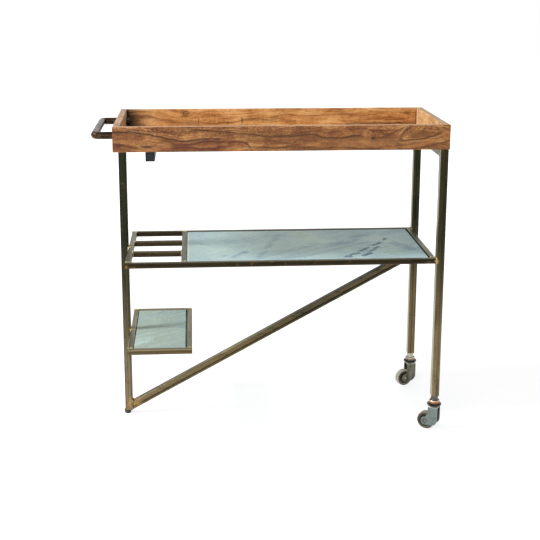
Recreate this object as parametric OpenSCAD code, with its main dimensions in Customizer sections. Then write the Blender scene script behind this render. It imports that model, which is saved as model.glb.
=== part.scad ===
// Serving trolley: an open wooden tray on a welded frame of square tube.
// One leg with a glide stands at the left end, two legs on swivel casters at the right end.
// X runs along the tray, Y from front to back, Z up. The floor is at Z = 0, and the origin
// is on the floor under the middle of the whole trolley.

/* [Tray] */
// Length of the wooden tray, along X
tray_l = 900; // [700:10:1200]
// Depth of the tray, front to back
tray_d = 370; // [320:5:480]
// Height of the tray's boards
tray_h = 67; // [64:1:110]
// Thickness of the four side boards
board_t = 18; // [15:1:24]
// Thickness of the floor planks
floor_t = 18; // [15:1:22]
// Number of planks in the floor
plank_count = 3; // [2:1:5]
// Open joint between two planks
plank_gap = 0.5; // [0.3:0.1:1.5]
// Radius of the eased long edges of the boards
edge_r = 1.5; // [0.5:0.25:3]
// Diameter of the corner dowels
dowel_d = 8; // [6:1:10]
// Length of the corner dowels
dowel_l = 28; // [20:1:28]

/* [Frame] */
// Height of the tray's rim above the floor
total_h = 880; // [780:10:1000]
// Width of the square leg tubes
leg_w = 22; // [20:1:28]
// How far the legs and shelves stand in from the tray's faces
leg_inset = 2; // [1:0.5:8]
// Wall of all the square tubes
tube_wall = 1.5; // [1:0.25:2]
// Outer corner radius of all the square tubes
tube_r = 2.2; // [1.5:0.1:3]
// Width of the cross tube under the tray's left part
cross_w = 25; // [20:1:30]
// Distance from the tray's left face to that cross tube
cross_in = 85.5; // [60:0.5:160]
// Thickness of the end caps' faces
cap_t = 3; // [2:0.5:5]
// Depth to which the end caps go into the cross tube
cap_depth = 12; // [8:1:20]
// Distance from the tray's mid-depth to each tray screw
screw_y = 120; // [60:1:130]
// Diameter of the tray screws' shanks
screw_d = 4.5; // [4:0.25:6]
// Diameter of the tray screws' heads
screw_head_d = 10; // [9:0.5:12]
// Height of the tray screws' heads
screw_head_h = 3; // [2:0.25:4]
// Depth to which the tray screws go up into the tray
screw_bite = 12; // [8:1:13]

/* [Main shelf] */
// Height of the main shelf's upper face above the floor
shelf_z = 509; // [440:1:560]
// Width of the square shelf tubes
shelf_w = 15; // [15:1:20]
// Clear length of the rack's slots, along X
slot_l = 136; // [80:1:200]
// Number of bars across the rack
bar_count = 2; // [1:1:4]

/* [Lower shelf] */
// Height of the lower shelf's upper face above the floor
lower_z = 262.5; // [220:0.5:330]
// Length of the lower shelf, along X
lower_l = 178; // [140:1:260]

/* [Stone slabs] */
// Thickness of the two stone slabs
slab_t = 10; // [8:0.5:10.5]
// How far the slabs lie under the shelf tubes' upper faces
slab_recess = 1.5; // [0.5:0.25:2]
// Gap round a slab at the front, back and left
slab_gap = 1.5; // [1:0.25:4]
// Gap between a slab and the tube at its right
slab_end_gap = 4; // [1:0.25:8]
// Chamfer of the slabs' upper edges
slab_ease = 0.8; // [0.4:0.1:2]
// Width of the ledges that carry the slabs
ledge_w = 12; // [8:1:20]
// Thickness of the ledges
ledge_t = 3; // [2:0.25:3.5]
// Space between two ledges where they meet in a corner
ledge_corner_gap = 1; // [0.5:0.25:4]

/* [Brace] */
// Width of the square brace tube
brace_w = 22; // [15:1:22]
// Height of the brace's upper face above the left leg's end, at the leg
brace_up = 26; // [24:0.5:80]
// Distance from the shelf's right end to where the brace's upper face meets the shelf
brace_end = 21; // [4:1:80]

/* [Handle] */
// Outer diameter of the handle's round tube
handle_d = 20; // [18:1:26]
// Wall of the handle's tube
handle_wall = 1.5; // [1:0.25:2]
// How far the handle stands out from the tray
handle_reach = 61; // [56:1:100]
// Depth of the handle's axis under the tray's rim
handle_drop = 28.5; // [22:0.5:30]
// Distance from the tray's front or back face to the axis of a handle arm
handle_in = 48; // [40:1:100]
// Bend radius of the handle, to the tube's axis
handle_bend = 14; // [14:1:24]
// Diameter of the studs that hold the handle
stud_d = 10; // [8:1:11]
// Length of the stud's plug inside the handle's tube
stud_plug_l = 18; // [10:1:24]
// Length of thread that shows past the nut
stud_tip = 3; // [1:0.5:5]
// Diameter of the washers under the handle's nuts
washer_d = 22; // [22:0.5:24]
// Thickness of those washers
washer_t = 2; // [1.5:0.25:3]

/* [Foot] */
// Diameter of the glide under the left leg
foot_d = 20; // [18:1:28]
// Height of the glide under the left leg's end
foot_h = 12.5; // [8:0.5:20]
// Radius of the glide's rounded lower edge
foot_edge_r = 6; // [2:0.5:7]
// Distance from the leg's axis to the glide's, towards the tray's left end
foot_off = 4; // [0:0.5:5]
// Depth to which the plugs and the glide go up into the legs
plug_depth = 25; // [20:1:40]

/* [Casters] */
// Height of a caster, from the floor to the leg's end
caster_h = 104.5; // [100:0.5:116]
// Diameter of the wheels
wheel_d = 50; // [44:1:54]
// Width of the tyres
wheel_w = 18; // [15:1:22]
// Radial thickness of the tyres
tyre_t = 6.5; // [4:0.5:8]
// Distance from the swivel axis back to the wheel's axle
trail = 22; // [16:1:26]
// Angle that the front caster is turned to
front_turn = -34; // [-90:1:90]
// Angle that the rear caster is turned to
rear_turn = 20; // [-90:1:90]
// Diameter of the wheels' axle rivets
axle_d = 6; // [5:0.5:8]
// Diameter of the caster stems
stem_d = 10; // [8:1:12]
// Diameter of the ring that holds the swivel bearing
collar_d = 31; // [28:1:36]
// Height of that ring
collar_h = 11.5; // [10:0.5:18]
// Diameter of the dished plate on the fork
dish_d = 40.5; // [36:0.5:44]
// Thickness of the fork's side plates
fork_t = 2; // [1.5:0.25:3]
// Width of the fork's side plates
fork_w = 28; // [26:1:32]
// Radius of the fork's ears round the axle
ear_r = 12.5; // [10:0.5:14]
// Number of balls in a swivel bearing
ball_count = 12; // [8:1:14]
// Diameter of the balls
ball_d = 4; // [3.5:0.25:4]

/* [Clearances] */
// Gap round a plug, cap or glide inside its tube
plug_fit = 0.2; // [0.1:0.05:0.5]
// Radial gap round a thread, dowel or screw in its hole
thread_fit = 0.1; // [0.05:0.05:0.3]
// Radial gap of a pin that turns in its bore
turn_fit = 0.08; // [0.05:0.01:0.1]
// Gap between a stem's head and the fork that turns on it
head_gap = 0.4; // [0.3:0.1:1]
// Gap round the balls in their grooves
ball_gap = 0.2; // [0.1:0.05:0.3]
// Gap between a wheel's hub and the fork's plates
hub_gap = 0.6; // [0.3:0.1:1.2]

/* [Hidden] */
$fn = 48;

// Places along X: the handle is at the left end, and a caster's dish reaches furthest right
dish_over = max(0, dish_d / 2 - leg_w / 2 - leg_inset);
over_l = handle_reach + tray_l + dish_over;
left_end = -over_l / 2;
tray_x0 = left_end + handle_reach;
tray_x1 = tray_x0 + tray_l;
left_leg_x = tray_x0 + leg_inset + leg_w / 2;
right_leg_x = tray_x1 - leg_inset - leg_w / 2;
frame_x0 = left_leg_x + leg_w / 2;
frame_x1 = right_leg_x - leg_w / 2;
cross_x = tray_x0 + cross_in + cross_w / 2;

// Places along Y, from the tray's mid-depth
side_y = tray_d / 2;
frame_y = side_y - leg_inset;
leg_y = frame_y - leg_w / 2;
shelf_in_y = frame_y - shelf_w;
handle_y = side_y - handle_in;

// Places along Z
tray_z = total_h - tray_h;
shelf_under = shelf_z - shelf_w;
handle_z = total_h - handle_drop;

// Main shelf: the rack's slots at the left, the slab in the rest
divider_x0 = frame_x0 + shelf_w + slot_l;
divider_x1 = divider_x0 + shelf_w;
shelf_in_x1 = frame_x1 - shelf_w;
bar_pitch = (2 * frame_y - shelf_w) / (bar_count + 1);

// Lower shelf
lower_x1 = frame_x0 + lower_l;

// Brace: its upper face runs from the left leg to the underside of the main shelf
brace_z = foot_h + brace_up;
brace_run = frame_x1 - brace_end - frame_x0;
brace_rise = shelf_under - brace_z;
brace_angle = atan2(brace_rise, brace_run);
brace_spare = 3 * brace_w;

// Handle fasteners
stud_nut_h = 0.8 * stud_d;
stud_nut_r = 0.98 * stud_d;
stud_x = tray_x0 + board_t;

// Corner dowels, one above the other in each corner
dowel_low_z = tray_z + floor_t / 2;
dowel_top_z = total_h - dowel_d - 2 * edge_r;

// Caster, from the leg's end down
nut_h = 13;
nut_r = 10.4;
nut_flange_h = 5;
collar_top = caster_h - nut_h;
collar_low = collar_top - collar_h;
collar_edge_r = 4;
nut_flange_r = collar_d / 2 - collar_edge_r;
race_open = 1;
race_z = collar_low - race_open / 2;
race_r = stem_d / 2 + ball_d / 2 + 3.6;
dish_top = collar_low - race_open;
dish_rim = 2;
dish_h = 6.5;
dish_taper = 4.3;
dish_low = dish_top - dish_h;
roof_t = 2.5;
roof_low = dish_low - roof_t;
head_h = 2.5;
head_r = stem_d / 2 + 2.5;
head_top = roof_low - head_gap;
stem_top = caster_h + plug_depth - 3;

// Wheel and fork: the hub stands a little proud of the tyre
axle_z = wheel_d / 2;
core_r = wheel_d / 2 - tyre_t;
hub_half = wheel_w / 2 + 0.6;
hub_r = axle_d / 2 + 4;
bush_r = axle_d / 2 + 1.6;
web_half = 3.5;
rim_t = 3;
tyre_r = 2.5;
fork_in = hub_half + hub_gap;
fork_out = fork_in + fork_t;
shoulder_r = 5;
knee_r = 18;
knee_x = fork_w / 2 - knee_r;
knee_z = axle_z - ear_r + knee_r + 1.5;
rivet_r = axle_d / 2 + 1.6;
rivet_h = 1.6;

// ---------- Shapes that repeat ----------

module rounded_rect(w, h, r) {
  square([w, h - 2 * r], center = true);
  square([w - 2 * r, h], center = true);
  for (sx = [-1, 1], sy = [-1, 1])
    translate([sx * (w / 2 - r), sy * (h / 2 - r)]) circle(r);
}

module tube_profile(w) {
  difference() {
    rounded_rect(w, w, tube_r);
    rounded_rect(w - 2 * tube_wall, w - 2 * tube_wall, max(tube_r - tube_wall, 0.4));
  }
}

// Square tubes along X, Y and Z, given by their ends and the place of their axis
module tube_x(w, x0, x1, y, z) {
  translate([x0, y, z]) rotate([90, 0, 90]) linear_extrude(x1 - x0) tube_profile(w);
}

module tube_y(w, x, y0, y1, z) {
  translate([x, y1, z]) rotate([90, 0, 0]) linear_extrude(y1 - y0) tube_profile(w);
}

module tube_z(w, x, y, z0, z1) {
  translate([x, y, z0]) linear_extrude(z1 - z0) tube_profile(w);
}

// A solid plug that fits inside a tube of width w
module plug_profile(w) {
  fit_w = w - 2 * tube_wall - 2 * plug_fit;
  rounded_rect(fit_w, fit_w, max(tube_r - tube_wall, 0.4));
}

module rod_x(r, x0, x1) {
  translate([x0, 0, 0]) rotate([0, 90, 0]) cylinder(r = r, h = x1 - x0);
}

// ---------- Tray ----------

// Two dowels join each corner, half in the long board and half in the end board
module corner_dowels(r) {
  for (x = [tray_x0 + board_t / 2, tray_x1 - board_t / 2])
    for (side = [-1, 1], z = [dowel_low_z, dowel_top_z])
      translate([x, side * (side_y - board_t), z])
        rotate([90, 0, 0]) cylinder(r = r, h = dowel_l, center = true);
}

// A board along the tray; side is -1 at the front and 1 at the back
module long_board(side) {
  difference() {
    translate([tray_x0, side * (side_y - board_t / 2), tray_z + tray_h / 2])
      rotate([90, 0, 90]) linear_extrude(tray_l) rounded_rect(board_t, tray_h, edge_r);
    corner_dowels(dowel_d / 2 + thread_fit);
  }
}

// A board across the tray's end, between the long boards, with its outer face at x_face
module end_board(x_face, side) {
  difference() {
    translate([x_face - side * board_t / 2, side_y - board_t, tray_z + tray_h / 2])
      rotate([90, 0, 0]) linear_extrude(tray_d - 2 * board_t)
        rounded_rect(board_t, tray_h, edge_r);
    corner_dowels(dowel_d / 2 + thread_fit);
  }
}

module tray_front_board() color("#a87a4c") long_board(-1);

module tray_rear_board() color("#b98550") long_board(1);

module tray_left_board() {
  color("#b08455") difference() {
    end_board(tray_x0, -1);
    for (side = [-1, 1])
      translate([0, side * handle_y, handle_z])
        rod_x(stud_d / 2 + thread_fit, tray_x0 - 1, stud_x + 1);
  }
}

module tray_right_board() {
  color("#d9a670") difference() {
    end_board(tray_x1, 1);
    screw_holes(right_leg_x, tray_z - 1, tray_z + screw_bite);
  }
}

module tray_dowels() color("#c89c66") corner_dowels(dowel_d / 2);

module tray_floor_planks() {
  inner_l = tray_l - 2 * board_t;
  inner_d = tray_d - 2 * board_t;
  plank_d = (inner_d - (plank_count - 1) * plank_gap) / plank_count;
  color("#dcae79") difference() {
    for (i = [0 : plank_count - 1])
      translate([tray_x0 + board_t, -inner_d / 2 + i * (plank_d + plank_gap), tray_z])
        cube([inner_l, plank_d, floor_t]);
    for (x = [cross_x, right_leg_x]) screw_holes(x, tray_z - 1, tray_z + screw_bite);
  }
}

// Holes for the two tray screws of the tube across the frame at x
module screw_holes(x, z0, z1) {
  for (side = [-1, 1])
    translate([x, side * screw_y, z0])
      cylinder(r = screw_d / 2 + thread_fit, h = z1 - z0);
}

// The two tray screws of a tube across the frame, from its underside up into the tray
module screw_pair(x, w) {
  for (side = [-1, 1]) translate([x, side * screw_y, tray_z - w]) {
    translate([0, 0, -screw_head_h]) cylinder(d = screw_head_d, h = screw_head_h);
    cylinder(d = screw_d, h = w + screw_bite);
  }
}

module tray_screws() {
  color("#3a3a38") {
    screw_pair(cross_x, cross_w);
    screw_pair(right_leg_x, leg_w);
  }
}

// ---------- Handle ----------

module handle_ring() {
  difference() {
    circle(d = handle_d);
    circle(d = handle_d - 2 * handle_wall);
  }
}

// One arm and its bend, at the back; the bend turns round its own middle into the crossbar
module handle_arm() {
  bend_x = left_end + handle_d / 2 + handle_bend;
  translate([bend_x, handle_y, handle_z])
    rotate([90, 0, 90]) linear_extrude(tray_x0 - bend_x) handle_ring();
  translate([bend_x, handle_y - handle_bend, handle_z])
    rotate([0, 0, 90]) rotate_extrude(angle = 90) translate([handle_bend, 0]) handle_ring();
}

module handle_tube() {
  bar_half = handle_y - handle_bend;
  color("#3a332c") {
    handle_arm();
    mirror([0, 1, 0]) handle_arm();
    translate([left_end + handle_d / 2, bar_half, handle_z])
      rotate([90, 0, 0]) linear_extrude(2 * bar_half) handle_ring();
  }
}

// A plug in each arm's end carries the stud that goes through the tray's left board
module handle_studs() {
  color("#4a4a48") for (side = [-1, 1]) translate([0, side * handle_y, handle_z]) {
    rod_x(handle_d / 2 - handle_wall - thread_fit, tray_x0 - stud_plug_l, tray_x0);
    rod_x(stud_d / 2, tray_x0, stud_x + washer_t + stud_nut_h + stud_tip);
  }
}

module handle_washers() {
  color("#3d3c38") for (side = [-1, 1]) translate([0, side * handle_y, handle_z])
    difference() {
      rod_x(washer_d / 2, stud_x, stud_x + washer_t);
      rod_x(stud_d / 2 + thread_fit, stud_x - 1, stud_x + washer_t + 1);
    }
}

module handle_nuts() {
  color("#34322e") for (side = [-1, 1])
    translate([stud_x + washer_t, side * handle_y, handle_z]) difference() {
      rotate([0, 90, 0]) cylinder(r = stud_nut_r, h = stud_nut_h, $fn = 6);
      rod_x(stud_d / 2 + thread_fit, -1, stud_nut_h + 1);
    }
}

// ---------- Welded frame ----------

module left_leg() color("#6b6450") tube_z(leg_w, left_leg_x, 0, foot_h, tray_z);

module front_right_leg() color("#6b6450") tube_z(leg_w, right_leg_x, -leg_y, caster_h, tray_z);

module rear_right_leg() color("#6b6450") tube_z(leg_w, right_leg_x, leg_y, caster_h, tray_z);

module left_cross_tube() {
  end_y = frame_y - cap_t;
  color("#565040") difference() {
    tube_y(cross_w, cross_x, -end_y, end_y, tray_z - cross_w / 2);
    screw_holes(cross_x, tray_z - cross_w - 1, tray_z + 1);
  }
}

module cross_tube_caps() {
  color("#323437") for (side = [-1, 1])
    translate([cross_x, side * frame_y, tray_z - cross_w / 2]) rotate([side * 90, 0, 0]) {
      linear_extrude(cap_t) rounded_rect(cross_w, cross_w, tube_r);
      linear_extrude(cap_t + cap_depth) plug_profile(cross_w);
    }
}

module right_cross_tube() {
  end_y = leg_y - leg_w / 2;
  color("#565040") difference() {
    tube_y(leg_w, right_leg_x, -end_y, end_y, tray_z - leg_w / 2);
    screw_holes(right_leg_x, tray_z - leg_w - 1, tray_z + 1);
  }
}

module spine_stub() {
  color("#565040") tube_x(leg_w, frame_x0, cross_x - cross_w / 2, 0, tray_z - leg_w / 2);
}

module spine_tube() {
  color("#565040") tube_x(leg_w, cross_x + cross_w / 2, frame_x1, 0, tray_z - leg_w / 2);
}

// Plugs in the right legs' ends, threaded for the caster stems
module leg_plugs() {
  color("#50504c") for (side = [-1, 1])
    translate([right_leg_x, side * leg_y, caster_h]) difference() {
      linear_extrude(plug_depth) plug_profile(leg_w);
      translate([0, 0, -1]) cylinder(r = stem_d / 2 + thread_fit, h = plug_depth + 2);
    }
}

// The glide's head is round below, and its plug goes up into the left leg
module glide_foot() {
  flat_r = foot_d / 2 - foot_edge_r;
  color("#2e2e30") translate([left_leg_x, 0, 0]) {
    translate([-foot_off, 0, 0]) rotate_extrude() {
      square([flat_r, foot_h]);
      translate([0, foot_edge_r]) square([foot_d / 2, foot_h - foot_edge_r]);
      translate([flat_r, foot_edge_r]) intersection() {
        circle(foot_edge_r);
        translate([0, -foot_edge_r]) square(foot_edge_r);
      }
    }
    translate([0, 0, foot_h]) linear_extrude(plug_depth) plug_profile(leg_w);
  }
}

// ---------- Shelves ----------

// Tubes along and across a shelf whose upper face is at z
module shelf_long(x0, x1, side, z) {
  tube_x(shelf_w, x0, x1, side * (frame_y - shelf_w / 2), z - shelf_w / 2);
}

module shelf_short(x0, z) {
  tube_y(shelf_w, x0 + shelf_w / 2, -shelf_in_y, shelf_in_y, z - shelf_w / 2);
}

// Ledges on the inner faces of the four tubes round a slab
module slab_ledges(x0, x1, z) {
  low = z - slab_recess - slab_t - ledge_t;
  end_y = shelf_in_y - ledge_w - ledge_corner_gap;
  for (y = [-shelf_in_y, shelf_in_y - ledge_w])
    translate([x0, y, low]) cube([x1 - x0, ledge_w, ledge_t]);
  for (x = [x0, x1 - ledge_w])
    translate([x, -end_y, low]) cube([ledge_w, 2 * end_y, ledge_t]);
}

// Section of a slab: w wide, with its upper edges chamfered
module slab_section(w) {
  polygon([
    [0, 0], [w, 0], [w, slab_t - slab_ease], [w - slab_ease, slab_t],
    [slab_ease, slab_t], [0, slab_t - slab_ease]
  ]);
}

// A slab in the space between the tubes at x0 and x1
module stone_slab(x0, x1, z) {
  slab_l = x1 - x0 - slab_gap - slab_end_gap;
  slab_d = 2 * (shelf_in_y - slab_gap);
  translate([x0 + slab_gap, -slab_d / 2, z - slab_recess - slab_t]) intersection() {
    rotate([90, 0, 90]) linear_extrude(slab_l) slab_section(slab_d);
    translate([0, slab_d, 0]) rotate([90, 0, 0]) linear_extrude(slab_d) slab_section(slab_l);
  }
}

module shelf_front_tube() color("#5c5238") shelf_long(frame_x0, frame_x1, -1, shelf_z);

module shelf_rear_tube() color("#5c5238") shelf_long(frame_x0, frame_x1, 1, shelf_z);

module shelf_left_tube() color("#7a8068") shelf_short(frame_x0, shelf_z);

module shelf_right_tube() color("#7a8068") shelf_short(shelf_in_x1, shelf_z);

module shelf_divider() color("#7a8068") shelf_short(divider_x0, shelf_z);

module rack_bars() {
  color("#6a5f45") for (i = [1 : bar_count])
    tube_x(shelf_w, frame_x0 + shelf_w, divider_x0,
      -frame_y + shelf_w / 2 + i * bar_pitch, shelf_z - shelf_w / 2);
}

module shelf_ledges() color("#4e4838") slab_ledges(divider_x1, shelf_in_x1, shelf_z);

module main_slab() color("#a5b8b4") stone_slab(divider_x1, shelf_in_x1, shelf_z);

module lower_front_tube() color("#6e6246") shelf_long(frame_x0, lower_x1, -1, lower_z);

module lower_rear_tube() color("#6e6246") shelf_long(frame_x0, lower_x1, 1, lower_z);

module lower_left_tube() color("#7a8068") shelf_short(frame_x0, lower_z);

module lower_right_tube() color("#7a8068") shelf_short(lower_x1 - shelf_w, lower_z);

module lower_ledges() {
  color("#4e4838") slab_ledges(frame_x0 + shelf_w, lower_x1 - shelf_w, lower_z);
}

module lower_slab() {
  color("#aebfb9") stone_slab(frame_x0 + shelf_w, lower_x1 - shelf_w, lower_z);
}

// The brace's ends are cut to the left leg's face and to the main shelf's underside and end
module brace() {
  color("#7d7358") intersection() {
    translate([frame_x0, 0, brace_z]) rotate([0, -brace_angle, 0])
      tube_x(brace_w, -brace_spare, norm([brace_run, brace_rise]) + brace_spare,
        0, -brace_w / 2);
    translate([frame_x0, -brace_w, 0]) cube([frame_x1 - frame_x0, 2 * brace_w, shelf_under]);
  }
}

// ---------- Casters: side is -1 for the front one and 1 for the rear one ----------

module at_caster(side) translate([right_leg_x, side * leg_y, 0]) children();

// What turns with a fork; the wheel trails towards -X before the fork is turned
module at_fork(side) {
  at_caster(side) rotate([0, 0, side < 0 ? front_turn : rear_turn]) children();
}

module at_wheel(side) {
  at_fork(side) translate([-trail, 0, axle_z]) rotate([90, 0, 0]) children();
}

// A nut with a sloping flange, locked down on the ring
module caster_nut(side) {
  color("#5a6266") at_caster(side) translate([0, 0, collar_top]) difference() {
    union() {
      cylinder(r = nut_r, h = nut_h, $fn = 6);
      cylinder(r1 = nut_flange_r, r2 = 0.86 * nut_r, h = nut_flange_h);
    }
    translate([0, 0, -1]) cylinder(r = stem_d / 2 + thread_fit, h = nut_h + 2);
  }
}

// The stem is headed under the fork's roof and screwed up into the leg's plug
module caster_stem(side) {
  color("#6a6f70") at_caster(side) {
    translate([0, 0, head_top - head_h]) cylinder(r = head_r, h = head_h);
    translate([0, 0, head_top]) cylinder(d = stem_d, h = stem_top - head_top);
  }
}

module ball_groove() {
  rotate_extrude() translate([race_r, race_z]) circle(ball_d / 2 + ball_gap);
}

// Half section of the ring round the swivel bearing, with a rounded outside
module collar_section() {
  square([collar_d / 2 - collar_edge_r, collar_h]);
  translate([0, collar_edge_r]) square([collar_d / 2, collar_h - 2 * collar_edge_r]);
  for (z = [collar_edge_r, collar_h - collar_edge_r])
    translate([collar_d / 2 - collar_edge_r, z]) circle(collar_edge_r);
}

module caster_collar(side) {
  color("#b07d56") at_caster(side) difference() {
    translate([0, 0, collar_low]) rotate_extrude() collar_section();
    translate([0, 0, collar_low - 1])
      cylinder(r = stem_d / 2 + thread_fit, h = collar_h + 2);
    ball_groove();
  }
}

module caster_dish(side) {
  color("#3c4143") at_fork(side) difference() {
    union() {
      translate([0, 0, dish_top - dish_rim]) cylinder(d = dish_d, h = dish_rim);
      translate([0, 0, dish_low])
        cylinder(r1 = dish_d / 2 - dish_taper, r2 = dish_d / 2, h = dish_h - dish_rim);
    }
    translate([0, 0, dish_low - 1]) cylinder(r = stem_d / 2 + turn_fit, h = dish_h + 2);
    ball_groove();
  }
}

module caster_balls(side) {
  color("#9a9c9a") at_fork(side) for (i = [0 : ball_count - 1])
    rotate([0, 0, i * 360 / ball_count]) translate([race_r, 0, race_z]) sphere(d = ball_d);
}

// Outline of a fork's side plate: a straight upper part, a round knee and the axle's ear
module fork_outline() {
  translate([-fork_w / 2, knee_z]) square([fork_w, dish_low - knee_z]);
  translate([-trail, axle_z]) circle(ear_r);
  translate([knee_x, knee_z]) circle(knee_r);
  polygon([
    [-trail, axle_z], [-trail, axle_z - ear_r], [knee_x, knee_z - knee_r],
    [knee_x, knee_z], [-fork_w / 2, knee_z]
  ]);
}

// An upright shape with rounded shoulders, up to the given top
module shouldered(half_w, top, r) {
  translate([-half_w, 0]) square([2 * half_w, top - r]);
  translate([r - half_w, 0]) square([2 * (half_w - r), top]);
  for (side = [-1, 1]) translate([side * (half_w - r), top - r]) circle(r);
}

// The bent sheet of the fork, seen along the wheel's way: two side plates and a roof
module fork_section() {
  difference() {
    shouldered(fork_out, dish_low, shoulder_r);
    shouldered(fork_in, roof_low, shoulder_r - fork_t);
  }
}

module caster_fork(side) {
  reach = trail + ear_r + 1;
  color("#808a8a") at_fork(side) difference() {
    intersection() {
      translate([-reach, 0, 0]) rotate([90, 0, 90]) linear_extrude(2 * reach) fork_section();
      translate([0, fork_out + 1, 0]) rotate([90, 0, 0])
        linear_extrude(2 * fork_out + 2) fork_outline();
    }
    translate([0, 0, roof_low - 1]) cylinder(r = stem_d / 2 + turn_fit, h = roof_t + 2);
    translate([-trail, fork_out + 1, axle_z]) rotate([90, 0, 0])
      cylinder(r = axle_d / 2 + thread_fit, h = 2 * fork_out + 2);
  }
}

module caster_axle(side) {
  color("#9b8f86") at_wheel(side) {
    cylinder(d = axle_d, h = 2 * fork_out, center = true);
    for (turn = [0, 180]) rotate([turn, 0, 0]) translate([0, 0, fork_out])
      cylinder(r1 = rivet_r, r2 = axle_d / 2, h = rivet_h);
  }
}

module wheel_bush(side) {
  color("#8c8c88") at_wheel(side) difference() {
    cylinder(r = bush_r, h = 2 * hub_half, center = true);
    cylinder(r = axle_d / 2 + turn_fit, h = 2 * hub_half + 2, center = true);
  }
}

// The wheel's core: a hub, a thin web and a rim under the tyre
module wheel_core(side) {
  color("#33302b") at_wheel(side) difference() {
    union() {
      cylinder(r = hub_r, h = 2 * hub_half, center = true);
      cylinder(r = core_r, h = 2 * web_half, center = true);
      difference() {
        cylinder(r = core_r, h = wheel_w, center = true);
        cylinder(r = core_r - rim_t, h = wheel_w + 2, center = true);
      }
    }
    cylinder(r = bush_r + thread_fit, h = 2 * hub_half + 2, center = true);
  }
}

module wheel_tyre(side) {
  bond = core_r + thread_fit;
  color("#8a8880") at_wheel(side) rotate_extrude()
    translate([(bond + axle_z) / 2, 0])
      rounded_rect(axle_z - bond, wheel_w, min(tyre_r, (axle_z - bond) / 2 - 0.2));
}

module front_caster_nut() caster_nut(-1);
module front_caster_stem() caster_stem(-1);
module front_caster_collar() caster_collar(-1);
module front_caster_dish() caster_dish(-1);
module front_caster_balls() caster_balls(-1);
module front_fork() caster_fork(-1);
module front_axle() caster_axle(-1);
module front_wheel_bush() wheel_bush(-1);
module front_wheel() wheel_core(-1);
module front_tyre() wheel_tyre(-1);
module rear_caster_nut() caster_nut(1);
module rear_caster_stem() caster_stem(1);
module rear_caster_collar() caster_collar(1);
module rear_caster_dish() caster_dish(1);
module rear_caster_balls() caster_balls(1);
module rear_fork() caster_fork(1);
module rear_axle() caster_axle(1);
module rear_wheel_bush() wheel_bush(1);
module rear_wheel() wheel_core(1);
module rear_tyre() wheel_tyre(1);

// ---------- The nodes ----------

tray_front_board();
tray_rear_board();
tray_left_board();
tray_right_board();
tray_floor_planks();
tray_dowels();
tray_screws();
handle_tube();
handle_studs();
handle_washers();
handle_nuts();
left_leg();
front_right_leg();
rear_right_leg();
left_cross_tube();
cross_tube_caps();
right_cross_tube();
spine_stub();
spine_tube();
leg_plugs();
glide_foot();
shelf_front_tube();
shelf_rear_tube();
shelf_left_tube();
shelf_right_tube();
shelf_divider();
rack_bars();
shelf_ledges();
main_slab();
lower_front_tube();
lower_rear_tube();
lower_left_tube();
lower_right_tube();
lower_ledges();
lower_slab();
brace();
front_caster_nut();
front_caster_stem();
front_caster_collar();
front_caster_dish();
front_caster_balls();
front_fork();
front_axle();
front_wheel_bush();
front_wheel();
front_tyre();
rear_caster_nut();
rear_caster_stem();
rear_caster_collar();
rear_caster_dish();
rear_caster_balls();
rear_fork();
rear_axle();
rear_wheel_bush();
rear_wheel();
rear_tyre();
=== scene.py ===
"""The looks of a serving trolley: oiled boards, patinated steel, stone slabs, welds and casters.

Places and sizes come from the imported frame, in metres: X along the tray, Y from front to back,
Z up from the floor. Lengths written in mm are turned into metres with MM.
"""

import math
import random

import bmesh
import bpy
from mathutils import Matrix, Vector, noise


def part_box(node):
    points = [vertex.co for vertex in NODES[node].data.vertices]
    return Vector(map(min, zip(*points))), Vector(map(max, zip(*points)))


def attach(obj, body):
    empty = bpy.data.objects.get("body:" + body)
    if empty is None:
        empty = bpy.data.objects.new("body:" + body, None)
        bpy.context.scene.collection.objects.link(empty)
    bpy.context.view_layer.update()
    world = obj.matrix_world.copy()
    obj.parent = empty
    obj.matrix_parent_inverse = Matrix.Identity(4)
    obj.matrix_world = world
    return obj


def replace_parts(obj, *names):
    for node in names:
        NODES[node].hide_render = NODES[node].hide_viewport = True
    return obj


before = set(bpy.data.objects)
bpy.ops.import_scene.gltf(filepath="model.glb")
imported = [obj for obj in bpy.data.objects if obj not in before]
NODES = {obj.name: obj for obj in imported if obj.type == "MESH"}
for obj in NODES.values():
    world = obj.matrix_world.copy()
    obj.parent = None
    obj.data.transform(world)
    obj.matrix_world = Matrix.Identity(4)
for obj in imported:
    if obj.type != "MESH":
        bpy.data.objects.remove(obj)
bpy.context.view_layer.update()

MM = 0.001
FRAME_BODY = "trolley_frame"


# ---------- Colours and node trees ----------


def tone(red, green, blue):
    """A colour as it shows on a screen, 0 to 255, turned into the linear colour a node takes."""

    def linear(value):
        share = value / 255
        return share / 12.92 if share <= 0.04045 else ((share + 0.055) / 1.055) ** 2.4

    return (linear(red), linear(green), linear(blue), 1.0)


def palette(*shades):
    """Tones, each from its red, green and blue."""
    return [tone(*shade) for shade in shades]


def stops(*rows):
    """Stops of a ramp, each from its place and the red, green and blue of its tone."""
    return [(place, tone(*shade)) for place, *shade in rows]


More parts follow.
